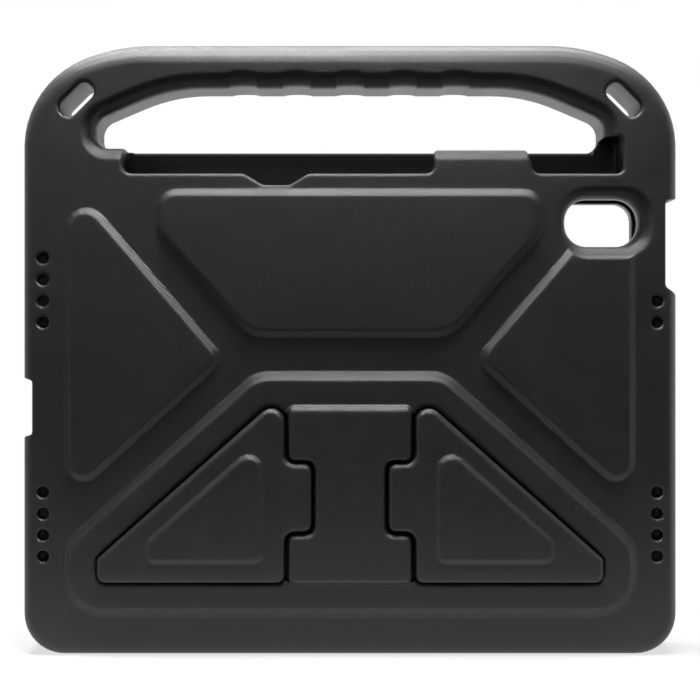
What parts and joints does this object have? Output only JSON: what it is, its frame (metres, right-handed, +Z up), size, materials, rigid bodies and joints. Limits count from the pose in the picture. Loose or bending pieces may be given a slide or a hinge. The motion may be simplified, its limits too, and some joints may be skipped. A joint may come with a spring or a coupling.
{
  "type": "tablet case",
  "caption": "Moulded foam case for a tablet with a carry handle, strap slots, a stylus channel, a camera window and a folding stand of hinged triangular wings.",
  "frame": {"origin": "on the surface that the case stands on, under the middle of its bounding box", "axes": "+X across the case to the right as seen from the back, +Z up along the back towards the handle, -Y out of the back"},
  "size_m": [0.2758, 0.03, 0.258],
  "materials": {
    "foam": "fine moulded grain, matte black",
    "wing_foam": "fine moulded grain, matte black",
    "pin_steel": "blackened wire"
  },
  "bodies": {
    "case": {"case_shell": "foam", "left_hinge_pin": "pin_steel", "right_hinge_pin": "pin_steel"},
    "left_wing": {"left_stand_wing": "wing_foam"},
    "right_wing": {"right_stand_wing": "wing_foam"}
  },
  "joints": [
    {"name": "left_wing_hinge", "type": "hinge", "parent": "case", "child": "left_wing", "pos_m": [-0.0222, -0.00988, 0.0668], "axis": [0, 0, 1], "range_deg": [0, 100]},
    {"name": "right_wing_hinge", "type": "hinge", "parent": "case", "child": "right_wing", "pos_m": [0.0222, -0.00988, 0.0668], "axis": [0, 0, -1], "range_deg": [0, 100]}
  ]
}
